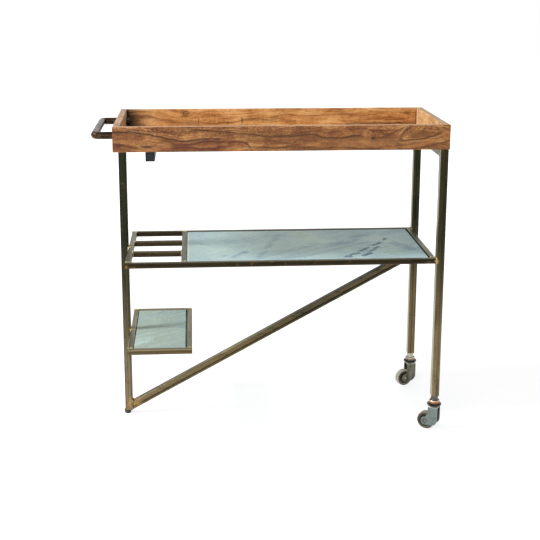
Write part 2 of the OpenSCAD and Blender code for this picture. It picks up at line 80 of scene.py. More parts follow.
class Finish:
    """A material being put together, by short calls that add nodes and return what they give."""

    def __init__(self, name, metallic=0.0, roughness=0.5, coat=0.0, shine=0.3):
        self.material = bpy.data.materials.new(name)
        self.material.use_nodes = True
        self.tree = self.material.node_tree
        self.shader = self.tree.nodes["Principled BSDF"]
        self.shader.inputs["Metallic"].default_value = metallic
        self.shader.inputs["Roughness"].default_value = roughness
        self.shader.inputs["Specular IOR Level"].default_value = shine
        self.shader.inputs["Coat Weight"].default_value = coat
        self.shader.inputs["Coat Roughness"].default_value = 0.25
        source = self.tree.nodes.new("ShaderNodeTexCoord")
        self.place = source.outputs["Object"]
        self.facing = source.outputs["Normal"]

    def put(self, node, values):
        """Gives a node's inputs numbers, or the outputs of other nodes."""
        for key, value in values.items():
            if isinstance(value, bpy.types.NodeSocket):
                self.tree.links.new(value, node.inputs[key])
            else:
                node.inputs[key].default_value = value
        return node

    def sums(self, operation, first, second=0.0, clamp=False):
        node = self.tree.nodes.new("ShaderNodeMath")
        node.operation = operation
        node.use_clamp = clamp
        return self.put(node, {0: first, 1: second}).outputs[0]

    def plus(self, first, second):
        return self.sums("ADD", first, second)

    def minus(self, first, second):
        return self.sums("SUBTRACT", first, second)

    def times(self, first, second):
        return self.sums("MULTIPLY", first, second)

    def swayed(self, value, cloud, much):
        """The value, moved up and down by a cloud, whose middle is 0.5, times much."""
        return self.plus(value, self.times(self.minus(cloud, 0.5), much))

    def arrows(self, operation, first, second):
        """Vector sums; the result of LENGTH, DISTANCE or DOT_PRODUCT is a number."""
        node = self.tree.nodes.new("ShaderNodeVectorMath")
        node.operation = operation
        self.put(node, {0: first, 1: second})
        number = operation in ("LENGTH", "DISTANCE", "DOT_PRODUCT")
        return node.outputs["Value" if number else "Vector"]

    def split(self, vector):
        node = self.tree.nodes.new("ShaderNodeSeparateXYZ")
        return dict(zip("xyz", self.put(node, {0: vector}).outputs))

    def joined(self, x, y, z):
        node = self.tree.nodes.new("ShaderNodeCombineXYZ")
        return self.put(node, {0: x, 1: y, 2: z}).outputs[0]

    def turned(self, angle, stretch, shift):
        """The place on the object, turned about Z and then stretched along each axis."""
        node = self.tree.nodes.new("ShaderNodeMapping")
        node.vector_type = "TEXTURE"
        turn = self.put(node, {"Vector": self.place, "Rotation": (0, 0, angle)}).outputs[0]
        stretched = self.arrows("MULTIPLY", turn, stretch)
        return self.arrows("ADD", stretched, shift)

    def clouds(self, vector, scale, detail=3.0, rough=0.5, bend=0.0):
        node = self.tree.nodes.new("ShaderNodeTexNoise")
        values = {"Vector": vector, "Scale": scale, "Detail": detail, "Roughness": rough}
        values["Distortion"] = bend
        return self.put(node, values).outputs["Fac"]

    def cells(self, vector, scale):
        """The distance to the nearest of many scattered points."""
        node = self.tree.nodes.new("ShaderNodeTexVoronoi")
        return self.put(node, {"Vector": vector, "Scale": scale}).outputs["Distance"]

    def step(self, value, low, high, start=0.0, end=1.0):
        """Eases from start to end as value goes from low to high."""
        node = self.tree.nodes.new("ShaderNodeMapRange")
        node.interpolation_type = "SMOOTHSTEP"
        values = {"Value": value, "From Min": low, "From Max": high}
        values.update({"To Min": start, "To Max": end})
        return self.put(node, values).outputs["Result"]

    def height(self):
        """The height above the floor."""
        return self.split(self.place)["z"]

    def upward(self, low, high, most=1.0):
        """0 on upright faces, and most on those that look up."""
        return self.step(self.split(self.facing)["z"], low, high, 0.0, most)

    def ramp(self, value, shades):
        """A colour that follows value through the shades, each a place and a tone."""
        node = self.tree.nodes.new("ShaderNodeValToRGB")
        points = node.color_ramp.elements
        while len(points) < len(shades):
            points.new(0.5)
        for point, (place, colour) in zip(points, shades):
            point.position = place
            point.color = colour
        return self.put(node, {0: value}).outputs["Color"]

    def curve(self, value, points):
        """A smooth line through points, each with both numbers from 0 to 1."""
        node = self.tree.nodes.new("ShaderNodeFloatCurve")
        line = node.mapping.curves[0]
        while len(line.points) < len(points):
            line.points.new(0.5, 0.5)
        for knot, point in zip(line.points, points):
            knot.location = point
        node.mapping.update()
        return self.put(node, {"Value": value}).outputs[0]

    def blend(self, share, under, over, kind="MIX"):
        node = self.tree.nodes.new("ShaderNodeMix")
        node.data_type = "RGBA"
        node.blend_type = kind
        self.put(node, {0: share, 6: under, 7: over})
        return node.outputs[2]

    def tinted(self, colour, shade):
        """The colour, multiplied by a tone."""
        return self.blend(1.0, colour, shade, "MULTIPLY")

    def done(self, colour, rough, height, depth, strength=0.3):
        """Links what varies over the surface to the shader, and returns the material."""
        bump = self.tree.nodes.new("ShaderNodeBump")
        self.put(bump, {"Height": height, "Distance": depth, "Strength": strength})
        values = {"Base Color": colour, "Roughness": rough, "Normal": bump.outputs[0]}
        self.put(self.shader, values)
        return self.material


# ---------- Wood ----------


# How far the lines drawn on the front and rear boards can reach along them and in height
BOARD_REACH = ((-0.43, 0.48), (0.8, 0.9))
DARK_GRAIN = tone(84, 53, 27)
DEEP_GRAIN = tone(60, 37, 19)


def in_metres(points):
    return [(x * MM, z * MM) for x, z in points]


class Vein:
    """A line that wanders along a board: points in mm along and across it, width in mm."""

    def __init__(self, points, width, strength, shade=DEEP_GRAIN):
        self.points = in_metres(points)
        self.width = width * MM
        self.strength = strength
        self.shade = shade


class Spot:
    """A patch or stroke: its place along and across the board and its half sizes, in mm."""

    def __init__(self, along, across, length, height, strength, shade=DARK_GRAIN):
        self.along = along * MM
        self.across = across * MM
        self.length = length * MM
        self.height = height * MM
        self.strength = strength
        self.shade = shade


class Knot(Spot):
    """A knot: a spot as flat as it is told, with its colour inside and rings round it."""

    def __init__(self, along, across, size, flat, inside, strength, rings):
        super().__init__(along, across, size, size * flat, strength, inside)
        self.rings = rings


class Board(Finish):
    """Wood being put together. axes gives the way along the grain, across the face, and through
    the board. planks gives the first edge and the width of planks that each have a grain."""

    def __init__(self, name, axes, seed, planks):
        super().__init__(name, roughness=0.5, coat=0.05, shine=0.22)
        part = self.split(self.place)
        self.along, self.across, self.through = (part[axis] for axis in axes)
        self.shift = seed
        if planks:
            first, width = planks
            number = self.sums("FLOOR", self.sums("DIVIDE", self.minus(self.across, first), width))
            self.shift = self.plus(self.times(number, 3.7), seed)
        self.uneven = self.swayed(self.across, self.wander((28, 45, 20)), 9 * MM)

    def wander(self, stretch):
        """A slow cloud, by its steps along, across and through the board."""
        ways = (self.along, self.across, self.through)
        steps = [self.times(way, much) for way, much in zip(ways, stretch)]
        return self.clouds(self.joined(*steps), 1.0, 2.0)

    def course(self, points):
        """How high a line through the points runs at this place along the board."""
        (start, end), (bottom, top) = BOARD_REACH
        inside = [((x - start) / (end - start), (z - bottom) / (top - bottom)) for x, z in points]
        share = self.sums("DIVIDE", self.minus(self.along, start), end - start, clamp=True)
        return self.plus(self.times(self.curve(share, inside), top - bottom), bottom)

    def oval(self, spot):
        """The distance from a spot's middle, 1 at its edge, and the part of it across the board."""
        off_x = self.sums("DIVIDE", self.minus(self.along, spot.along), spot.length)
        off_z = self.sums("DIVIDE", self.minus(self.uneven, spot.across), spot.height)
        return self.arrows("LENGTH", self.joined(off_x, off_z, 0.0), (0, 0, 0)), off_z

    def lay_grain(self, flow, knots):
        """The grain follows the flow line, wanders a little, and bends round each knot."""
        way = self.minus(self.across, self.course(in_metres(flow))) if flow else self.across
        way = self.swayed(way, self.wander((6, 9, 3)), 24 * MM)
        for knot in knots:
            distance, off_z = self.oval(knot)
            near = self.step(distance, 0.3, 2.8, 1.0, 0.0)
            way = self.plus(way, self.times(self.times(off_z, near), -0.5 * knot.height))
        self.grain = self.joined(self.along, way, self.plus(self.through, self.shift))

    def layer(self, stretch, detail, rough=0.55, bend=0.0):
        """A cloud drawn out along the grain."""
        return self.clouds(self.arrows("MULTIPLY", self.grain, stretch), 1.0, detail, rough, bend)

    def draw_veins(self, colour, veins, thickness):
        """Lines with a crisp middle and a soft wash below them, faded at both ends."""
        for vein in veins:
            off = self.minus(self.uneven, self.course(vein.points))
            side = self.sums("DIVIDE", off, self.times(thickness, 1.3 * vein.width))
            crisp = self.step(self.sums("ABSOLUTE", side), 0.25, 1.15, vein.strength, 0.0)
            wash = self.step(side, -4.0, 0.0, 0.0, 0.45 * vein.strength)
            wash = self.times(wash, self.step(side, 0.0, 0.6, 1.0, 0.0))
            mask = self.sums("MAXIMUM", crisp, wash)
            first, last = vein.points[0][0], vein.points[-1][0]
            mask = self.times(mask, self.step(self.along, first - 20 * MM, first + 5 * MM))
            mask = self.times(mask, self.step(self.along, last - 5 * MM, last + 20 * MM, 1.0, 0.0))
            colour = self.blend(mask, colour, vein.shade)
        return colour

    def draw_spots(self, colour, spots, lines):
        """Spots whose edges are broken up by the fine lines."""
        for spot in spots:
            soft = self.swayed(self.oval(spot)[0], lines, 1.2)
            colour = self.blend(self.step(soft, 0.3, 1.15, spot.strength, 0.0), colour, spot.shade)
        return colour

    def draw_knots(self, colour, knots):
        for knot in knots:
            distance, _ = self.oval(knot)
            ring = self.step(self.sums("SINE", self.times(distance, 11.0)), 0.0, 1.0)
            ring = self.times(ring, self.step(distance, 0.5, 1.5, knot.rings, 0.0))
            heart = self.step(distance, 0.3, 0.95, knot.strength, 0.0)
            colour = self.blend(heart, colour, knot.shade)
            colour = self.blend(ring, colour, DARK_GRAIN)
        return colour


def wood(name, tones, axes, flow=(), veins=(), knots=(), spots=(), seed=0.0, figure=1.0, speck=0.3,
         planks=None, glitter=None, rim=None):
    """Oiled wood. figure and speck are how strong its bands and its specks are, glitter the heights
    between which its grain comes to sparkle, and rim the tone of its upper edge."""
    board = Board(name, axes, seed, planks)
    board.lay_grain(flow, knots)
    bands = board.layer((7, 85, 60), 5.0, 0.62, 1.1)
    lines = board.layer((16, 330, 260), 4.0, 0.68, 0.4)
    specks = board.layer((190, 620, 620), 3.0, 0.6)
    pores = board.step(board.layer((90, 950, 950), 1.0), 0.58, 0.68)
    broad = board.clouds(board.joined(board.along, board.across, board.shift), 16.0, 4.0, 0.6, 0.6)
    level = 0.5
    for cloud, weight in ((bands, figure), (lines, 0.6), (specks, 1.3 * speck), (broad, 0.8)):
        level = board.swayed(level, cloud, weight)
    if glitter:
        much = board.step(board.uneven, glitter[0], glitter[1], 0.2, 0.9)
        level = board.swayed(level, board.layer((260, 430, 300), 2.0, 0.5), much)
    colour = board.ramp(level, list(zip((0.26, 0.44, 0.56, 0.76), tones)))

    # Thin dark contours between the bands, broken up by the fine lines
    contour = board.step(board.sums("ABSOLUTE", board.minus(bands, 0.45)), 0.0, 0.03, 0.5, 0.0)
    contour = board.times(contour, board.step(lines, 0.35, 0.6, figure, 0.2 * figure))
    colour = board.blend(contour, colour, DARK_GRAIN)
    colour = board.draw_veins(colour, veins, board.plus(broad, lines))
    colour = board.draw_spots(colour, spots, lines)
    colour = board.draw_knots(colour, knots)
    colour = board.blend(board.times(pores, speck), colour, DARK_GRAIN)
    if rim:
        colour = board.blend(board.upward(0.6, 0.95, 0.5), colour, rim)
    rough = board.step(lines, 0.3, 0.7, 0.6, 0.46)
    height = board.minus(board.plus(specks, lines), pores)
    return board.done(colour, rough, height, 0.3 * MM, 0.35)


# ---------- Steel, stone, plastic and rubber ----------


def patina(name, axis, heights, top_shade, stain, tints=(), seed=0.0, over=None):
    """Lacquered steel patina. axis is the way its tube runs. heights gives tones by the height
    above the floor, which paint shade deepening under the tray and shelves, and on the long tubes
    and bars pale edges as painted highlights. top_shade is the dust and wear on what faces up,
    with a painted sheen of light from above, and tints the places of heat and shade. over draws
    the piece's own lines and bands, painted highlights and shade among them."""
    finish = Finish(name, metallic=0.88, roughness=0.4)
    streak = {"x": (6, 420, 420), "y": (420, 6, 420), "z": (420, 420, 6)}[axis]
    spread = {"x": (9, 60, 60), "y": (60, 9, 60), "z": (60, 60, 9)}[axis]
    moved = finish.arrows("ADD", finish.place, (seed, seed, seed))
    drawn = finish.clouds(finish.arrows("MULTIPLY", moved, streak), 1.0, 3.0, 0.6)
    mottled = finish.clouds(finish.arrows("MULTIPLY", moved, spread), 1.0, 5.0, 0.62, 0.6)
    fine = finish.clouds(moved, 300.0, 3.0, 0.6)
    level = finish.swayed(finish.swayed(mottled, drawn, 0.6), fine, 0.5)
    # The tones by height paint shade, darker under the tray and shelves, and on the long tubes and bars
    # pale edges as painted highlights.
    base = finish.ramp(finish.height(), heights)
    light = finish.blend(1.0, base, tone(216, 210, 196), "SOFT_LIGHT")
    dark = finish.tinted(base, tone(92, 88, 76))
    colour = finish.blend(finish.step(level, 0.50, 0.80, 0.0, 0.7), base, light)
    colour = finish.blend(finish.step(level, 0.24, 0.48, 0.6, 0.0), colour, dark)
    # What faces up takes top_shade: dust, with a painted sheen of light from above.
    dust_and_sheen = finish.step(finish.plus(level, fine), 0.75, 1.2, 0.5, 1.0)
    dust_and_sheen = finish.times(finish.upward(0.55, 0.95, 0.85), dust_and_sheen)
    colour = finish.blend(dust_and_sheen, colour, top_shade)
    rust = finish.step(finish.clouds(moved, 42.0, 4.0, 0.65, 0.8), 0.58, 0.74, 0.0, 0.6)
    colour = finish.blend(rust, colour, stain)
    if over:
        colour = over(finish, colour, level)
    for place, reach, shade in tints:
        off = finish.arrows("DISTANCE", finish.place, place)
        near = finish.step(off, reach * 0.15, reach, 1.0, 0.0)
        share = finish.times(near, finish.step(level, 0.36, 0.62, 0.15, 0.9))
        colour = finish.blend(share, colour, shade)
    rough = finish.step(level, 0.3, 0.75, 0.46, 0.34)
    return finish.done(colour, rough, finish.plus(drawn, fine), 0.12 * MM, 0.25)


def beside_line(finish, start, end, width):
    """1 on the line from start to end across a slab, easing to 0 at width from it, all in mm."""
    flat = finish.arrows("MULTIPLY", finish.place, (1, 1, 0))
    first = Vector(start).to_3d() * MM
    ray = Vector(end).to_3d() * MM - first
    unit = ray.normalized()
    off = finish.arrows("SUBTRACT", flat, first)
    along = finish.arrows("DOT_PRODUCT", off, unit)
    past = finish.sums("ABSOLUTE", finish.minus(along, ray.length / 2))
    ends = finish.step(past, ray.length * 0.40, ray.length * 0.56, 1.0, 0.0)
    side = finish.sums("ABSOLUTE", finish.arrows("DOT_PRODUCT", off, (-unit.y, unit.x, 0)))
    return finish.times(finish.step(side, width * MM * 0.2, width * MM, 1.0, 0.0), ends)


def stone(name, shade, shaded, flecks=(), blue_bands=(), scratches_and_highlights=(), seed=0.0):
    """Honed grey-green stone with cloudy blue-grey patches, pale scratches and dark flecks, and pale
    lines painted as highlights along its edges. shade is the tone of its left end, and shaded how
    much of it shows there; on the main slab that darker left end is painted shade."""
    finish = Finish(name, roughness=0.55, shine=0.15)
    moved = finish.arrows("ADD", finish.place, (seed, seed, 0.0))
    slanted = finish.turned(math.radians(38), (3.0, 11.0, 3.0), (seed, 0, 0))
    soft = finish.clouds(moved, 6.0, 5.0, 0.6, 0.8)
    drift = finish.clouds(slanted, 1.0, 5.0, 0.62, 1.2)
    grain = finish.clouds(moved, 210.0, 4.0, 0.65)
    strokes = finish.turned(math.radians(-20), (30.0, 140.0, 3.0), (seed, 0, 0))
    marks = finish.clouds(strokes, 1.0, 3.0, 0.6, 0.8)
    green = finish.clouds(moved, 14.0, 4.0, 0.6, 1.0)
    ground = stops((0.3, 186, 222, 232), (0.5, 206, 240, 249), (0.70, 220, 248, 251))
    # On the main slab this darker left end is painted shade.
    left = finish.step(finish.split(finish.place)["x"], -0.35, 0.1, shaded, 0.0)
    colour = finish.blend(left, finish.ramp(soft, ground), shade)
    colour = finish.blend(finish.step(drift, 0.50, 0.66, 0.0, 0.6), colour, tone(166, 198, 218))
    colour = finish.blend(finish.step(drift, 0.30, 0.43, 0.5, 0.0), colour, tone(210, 236, 232))
    colour = finish.blend(finish.step(green, 0.54, 0.68, 0.0, 0.4), colour, tone(186, 218, 206))
    colour = finish.blend(finish.step(marks, 0.60, 0.72, 0.0, 0.4), colour, tone(214, 232, 228))
    colour = finish.blend(finish.step(marks, 0.28, 0.38, 0.4, 0.0), colour, tone(136, 158, 160))

    patch = finish.step(finish.clouds(slanted, 3.0, 4.0, 0.6, 1.0), 0.38, 0.56)
    chips = finish.turned(math.radians(50), (130.0, 330.0, 1.0), (seed, 0, 0))
    chip = finish.step(finish.clouds(chips, 1.0, 2.0, 0.5), 0.34, 0.44)
    drawn = (
        (blue_bands, patch, tone(136, 172, 200)),
        (flecks, chip, tone(76, 106, 142)),
        # Pale scratches, and highlights painted along edges.
        (scratches_and_highlights, 1.0, tone(226, 232, 220)),
    )
    for lines, broken, line_shade in drawn:
        for start, end, width, strength in lines:
            share = finish.times(beside_line(finish, start, end, width), broken)
            colour = finish.blend(finish.times(share, strength), colour, line_shade)

    colour = finish.blend(finish.step(grain, 0.52, 0.70, 0.0, 0.5), colour, tone(220, 238, 236))
    colour = finish.blend(finish.step(grain, 0.32, 0.47, 0.45, 0.0), colour, tone(140, 166, 168))
    specks = finish.step(finish.cells(moved, 60.0), 0.04, 0.12, 0.65, 0.0)
    colour = finish.blend(specks, colour, tone(116, 132, 138))
    rough = finish.step(soft, 0.3, 0.7, 0.62, 0.5)
    return finish.done(colour, rough, finish.plus(grain, soft), 0.3 * MM)


def moulded(name, light, dark, rough=0.5, metallic=0.0, grain=320.0, wear=None, shine=0.3):
    """Moulded plastic, rubber or plated metal: a fine even grain with a slow drift of tone."""
    finish = Finish(name, metallic=metallic, roughness=rough, shine=shine)
    drift = finish.clouds(finish.place, 45.0, 4.0, 0.6, 0.4)
    fine = finish.clouds(finish.place, grain, 3.0, 0.6)
    level = finish.swayed(drift, fine, 0.6)
    colour = finish.blend(finish.step(level, 0.3, 0.72), dark, light)
    if wear:
        scuffs = finish.step(finish.clouds(finish.place, 120.0, 4.0, 0.7, 1.5), 0.6, 0.75, 0.0, 0.6)
        colour = finish.blend(scuffs, colour, wear)
    roughness = finish.step(level, 0.3, 0.7, rough + 0.1, rough - 0.06)
    return finish.done(colour, roughness, fine, 0.1 * MM)


def banded(name, node, top, rim, middle, foot):
    """A turned collar: a dark top, a bright shoulder that is a painted highlight, a coloured middle
    and a foot of its own.
    """
    finish = Finish(name, metallic=0.85, roughness=0.32)
    low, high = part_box(node)
    turning = finish.clouds(finish.arrows("MULTIPLY", finish.place, (60, 60, 1800)), 1.0, 2.0)
    fine = finish.clouds(finish.place, 500.0, 3.0, 0.6)
    level = finish.swayed(finish.height(), fine, 2 * MM)
    shoulder = finish.step(level, high.z - 3.5 * MM, high.z - 2.3 * MM)
    edge = finish.step(level, high.z - 1.0 * MM, high.z - 0.3 * MM)
    base = finish.step(level, low.z + 2.2 * MM, low.z + 3.6 * MM, 1.0, 0.0)
    # The shoulder takes rim, a painted highlight on its rounded edge.
    colour = finish.blend(shoulder, middle, rim)
    colour = finish.blend(edge, colour, top)
    colour = finish.blend(base, colour, foot)
    wear_and_sheen = finish.tinted(colour, tone(160, 150, 136))
    colour = finish.blend(finish.step(turning, 0.35, 0.6, 0.7, 0.0), colour, wear_and_sheen)
    rough = finish.step(fine, 0.3, 0.7, 0.4, 0.28)
    return finish.done(colour, rough, turning, 0.1 * MM)


def axle_way(turn):
    """The way an axle runs on a caster turned by so many degrees."""
    return (-math.sin(math.radians(turn)), math.cos(math.radians(turn)), 0)


def beside_wheel(finish, turn):
    """1 on faces that look along the axle, 0 on those that look away from it."""
    parts = finish.split(finish.arrows("MULTIPLY", finish.facing, axle_way(turn)))
    return finish.sums("ABSOLUTE", finish.plus(parts["x"], parts["y"]))


def fork_zinc(end, light, dark, turn, streaks):
    """Pressed zinc-plated steel of the front or the rear fork: the cut edges of its plates and the
    bend of its roof are painted pale as highlights, and there is a dark ring round its rivets."""
    finish = Finish(end + "_fork_zinc", metallic=0.8, roughness=0.38)
    drift = finish.clouds(finish.arrows("MULTIPLY", finish.place, streaks), 1.0, 4.0, 0.6, 0.5)
    fine = finish.clouds(finish.place, 420.0, 3.0, 0.6)
    level = finish.swayed(drift, fine, 0.5)
    colour = finish.blend(finish.step(level, 0.3, 0.72), dark, light)

    level_face = finish.sums("ABSOLUTE", finish.split(finish.facing)["z"])
    flat = finish.sums("MAXIMUM", beside_wheel(finish, turn), finish.times(level_face, 0.6))
    edge = finish.step(flat, 0.45, 0.92, 0.75, 0.0)
    edge = finish.times(edge, finish.step(fine, 0.3, 0.6, 0.6, 1.0))
    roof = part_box(end + "_fork")[1].z
    bend = finish.step(finish.height(), roof - 5 * MM, roof - 2 * MM)
    bend = finish.times(bend, finish.step(fine, 0.25, 0.55, 0.5, 0.95))
    # Painted highlights on the edges and the bend.
    for wear_and_sheen in (edge, bend):
        colour = finish.blend(wear_and_sheen, colour, tone(206, 202, 186))

    low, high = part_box(end + "_axle")
    off = finish.arrows("SUBTRACT", finish.place, (low + high) / 2)
    away = finish.arrows("LENGTH", finish.arrows("CROSS_PRODUCT", off, axle_way(turn)), (0, 0, 0))
    rivet = finish.step(away, 5.6 * MM, 7.2 * MM, 0.85, 0.0)
    colour = finish.blend(rivet, colour, tone(58, 52, 43))
    rough = finish.step(level, 0.3, 0.7, 0.46, 0.32)
    return finish.done(colour, rough, fine, 0.1 * MM)


def dish_zinc():
    """The dished plates: a dark lip over a grey skirt."""
    finish = Finish("dish_zinc", metallic=0.8, roughness=0.4)
    fine = finish.clouds(finish.place, 420.0, 3.0, 0.6)
    level = finish.swayed(finish.height(), fine, 1 * MM)
    speck = finish.step(fine, 0.3, 0.7)
    skirt = finish.blend(speck, tone(84, 88, 90), tone(122, 126, 126))
    lip = finish.blend(speck, tone(40, 44, 46), tone(76, 79, 78))
    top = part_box("front_caster_dish")[1].z
    colour = finish.blend(finish.step(level, top - 3.8 * MM, top - 2.2 * MM), skirt, lip)
    rough = finish.step(fine, 0.3, 0.7, 0.46, 0.34)
    return finish.done(colour, rough, fine, 0.1 * MM)


def tyre_rubber(name, tread, dark_tread, turn):
    """Rubber with brown sides and a tread painted pale with the light that falls on it."""
    finish = Finish(name, roughness=0.68, shine=0.25)
    drift = finish.clouds(finish.place, 45.0, 4.0, 0.6, 0.4)
    fine = finish.clouds(finish.place, 600.0, 3.0, 0.6)
    level = finish.swayed(drift, fine, 0.6)
    speck = finish.step(level, 0.3, 0.72)
    colour = finish.blend(speck, dark_tread, tread)
    side = finish.blend(speck, tone(66, 55, 43), tone(104, 92, 74))
    colour = finish.blend(finish.step(beside_wheel(finish, turn), 0.80, 0.98), colour, side)
    rough = finish.step(level, 0.3, 0.7, 0.78, 0.62)
    return finish.done(colour, rough, fine, 0.1 * MM)


# ---------- The materials ----------


MAROON = tone(98, 50, 38)
ASH = tone(62, 48, 38)


def front_board_wood():
    """The front board: dark grain that falls to the right, maroon patches, knots and a swirl."""
    flow = [(-423, 868), (-300, 853), (-220, 846), (-100, 850), (0, 852), (86, 857), (150, 848),
            (217, 853), (300, 845), (400, 850), (476, 843)]
    veins = [
        Vein([(-421, 867), (-349, 864), (-310, 856), (-262, 846), (-238, 842), (-207, 844),
              (-170, 849)], 2.2, 0.9),
        Vein([(-211, 872), (-159, 869), (-98, 863), (-44, 856), (-11, 853), (32, 855)], 1.7, 0.9),
        Vein([(-20, 849), (-4, 840), (26, 834), (60, 831)], 1.6, 0.6),
        Vein([(-262, 822), (-219, 824), (-181, 820), (-140, 826), (-116, 836), (-92, 839), (-74, 836),
              (-64, 829)], 3.2, 0.9, MAROON),
        Vein([(-270, 838), (-240, 833), (-205, 836), (-170, 840), (-130, 836)], 3.0, 0.8, MAROON),
        Vein([(-262, 820), (-200, 819), (-150, 820)], 1.6, 0.6, MAROON),
        Vein([(16, 852), (38, 855), (94, 864)], 1.5, 0.8),
        Vein([(44, 852), (72, 855), (99, 856), (133, 850), (154, 847), (181, 848), (208, 852),
              (230, 854)], 1.9, 0.9),
        Vein([(271, 843), (303, 852), (325, 863), (352, 874)], 1.5, 0.7),
        Vein([(-380, 872), (-330, 869), (-270, 866), (-220, 868)], 1.5, 0.6),
        Vein([(-420, 836), (-392, 829), (-360, 824)], 3.0, 0.7, MAROON),
        Vein([(-60, 826), (0, 822), (60, 824), (110, 820), (170, 822), (240, 818), (330, 822)],
             1.8, 0.65),
        Vein([(331, 843), (336, 853), (343, 864), (355, 876)], 1.5, 0.8, tone(206, 154, 100)),
        Vein([(342, 845), (345, 853), (352, 863), (362, 872)], 3.4, 0.75, tone(104, 62, 42)),
        Vein([(331, 842), (340, 835), (397, 838), (430, 846), (456, 857)],
             1.5, 0.75, tone(206, 154, 100)),
        Vein([(341, 846), (352, 840), (395, 843), (424, 850), (446, 860)], 1.7, 0.75),
        Vein([(341, 847), (347, 857), (357, 868)], 1.5, 0.6),
        Vein([(300, 818), (380, 825), (430, 835), (474, 848)], 3.0, 0.45, tone(206, 140, 80)),
        Vein([(340, 815), (400, 820), (440, 828), (474, 838)], 2.0, 0.6),
    ]
    knots = [
        Knot(-82, 830, 17, 0.6, tone(160, 90, 54), 0.6, 0.4),
        Knot(267, 846, 6.2, 0.9, tone(44, 30, 25), 1.0, 0.8),
    ]
    spots = [
        Spot(-334, 828, 19, 4.2, 0.85, ASH),
        Spot(-150, 846, 14, 4.4, 0.9, ASH),
        Spot(-176, 845, 12, 3.4, 0.7, MAROON),
        Spot(-232, 832, 24, 7, 0.7, MAROON),
        Spot(-406, 830, 20, 6.5, 0.85, MAROON),
        Spot(-285, 831, 20, 9, 0.45, tone(206, 146, 88)),
        Spot(-128, 832, 12, 5, 0.5, tone(206, 140, 84)),
        Spot(96, 824, 24, 3.5, 0.75, MAROON),
        Spot(214, 819, 34, 4, 0.7),
        Spot(96, 871, 4, 2.4, 0.85),
        Spot(58, 838, 4, 2.2, 0.8),
        Spot(113, 841, 4.5, 2.8, 0.85),
        Spot(90, 840, 32, 4.5, 0.5, MAROON),
        Spot(400, 857, 48, 10, 0.5, tone(122, 84, 44)),
        Spot(376, 848, 16, 5, 0.5, tone(112, 66, 44)),
        # Painted shade along the bottom edge.
        Spot(26, 811, 470, 4.5, 0.75, tone(70, 50, 30)),
        Spot(440, 872, 44, 6, 0.3),
        Spot(10, 856, 190, 22, 0.3, tone(118, 78, 42)),
        Spot(40, 838, 120, 12, 0.25, tone(126, 80, 50)),
        Spot(240, 834, 150, 16, 0.4, tone(190, 136, 84)),
    ]
    tones = palette((104, 62, 34), (150, 94, 54), (172, 114, 67), (214, 158, 98))
    return wood("front_board_wood", tones, "xzy", flow=flow, veins=veins, knots=knots, spots=spots,
                figure=0.8, speck=0.5, glitter=(0.848, 0.862), rim=tone(226, 188, 150))


def rear_board_wood():
    """The rear board: paler gold, with a knot high up and saw marks across its lower half."""
    flow = [(-423, 850), (-330, 858), (-250, 846), (-100, 846), (100, 855), (300, 846), (476, 852)]
    veins = [
        Vein([(-400, 862), (-340, 858), (-300, 848), (-250, 842), (-200, 840)], 3.0, 0.5, MAROON),
        Vein([(-190, 842), (-110, 838), (-50, 850), (20, 846)], 2.0, 0.5),
        Vein([(60, 868), (130, 858), (220, 862), (310, 856), (420, 850), (455, 858)],
             2.4, 0.5, tone(150, 94, 50)),
        Vein([(250, 833), (330, 836), (375, 835), (446, 835)], 3.2, 0.6),
    ]
    knots = [Knot(-232, 867, 11, 0.75, tone(176, 122, 74), 0.5, 0.95)]
    spots = [
        Spot(-195, 845, 1.8, 13, 0.8),
        Spot(-147, 846, 1.5, 13, 0.6),
        Spot(-108, 838, 1.6, 7, 0.7),
        Spot(-66, 847, 2.4, 15, 0.95),
        Spot(-4, 852, 1.5, 12, 0.5),
        Spot(-34, 851, 6, 3, 0.6),
        Spot(30, 852, 16, 7, 0.4),
        Spot(404, 836, 14, 3, 0.8, tone(40, 26, 18)),
        Spot(425, 866, 10, 6, 0.35),
        # Painted shadow of the left board in the rear-left corner.
        Spot(-404, 850, 52, 60, 0.75, tone(84, 60, 34)),
        Spot(-408, 842, 26, 50, 0.85, tone(44, 32, 18)),
        Spot(-404, 852, 8, 60, 0.95, tone(26, 20, 13)),
        Spot(452, 846, 10, 40, 0.3, tone(120, 78, 42)),
        Spot(457, 848, 5, 40, 0.7, tone(110, 60, 38)),
    ]
    tones = palette((152, 96, 50), (204, 144, 86), (226, 170, 110), (246, 202, 146))
    return wood("rear_board_wood", tones, "xzy", flow=flow, veins=veins, knots=knots, spots=spots,
                seed=2.3, figure=0.9, speck=0.4, glitter=(0.90, 0.70))


def left_board_wood():
    tones = palette((146, 104, 74), (180, 142, 110), (196, 160, 126), (216, 184, 150))
    return wood("left_board_wood", tones, "yzx", seed=5.1, figure=0.6, speck=0.25)


def right_board_wood():
    tones = palette((170, 122, 74), (206, 162, 112), (226, 184, 132), (244, 208, 160))
    spots = [
        Spot(168, 850, 16, 60, 0.8, tone(255, 238, 204)),
        Spot(-120, 820, 60, 12, 0.4, tone(255, 226, 180)),
    ]
    return wood("right_board_wood", tones, "yzx", spots=spots, seed=7.7, figure=0.6,
                rim=tone(170, 142, 112))


def plank_wood():
    """The pale floor planks: three boards of quiet grain, each its own."""
    tones = palette((236, 190, 136), (252, 214, 162), (255, 224, 176), (255, 236, 198))
    spots = [
        # Painted shadow of the left board over the planks' left end.
        Spot(-404, 150, 62, 190, 0.6, tone(120, 86, 52)),
        Spot(-406, 162, 44, 120, 0.75, tone(60, 44, 26)),
    ]
    low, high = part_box("tray_floor_planks")
    margin = 0.25 * MM
    planks = (low.y - margin, (high.y - low.y + 2 * margin) / 3)
    return wood("plank_wood", tones, "xyz", spots=spots, seed=9.2, figure=0.5, speck=0.2,
                planks=planks)


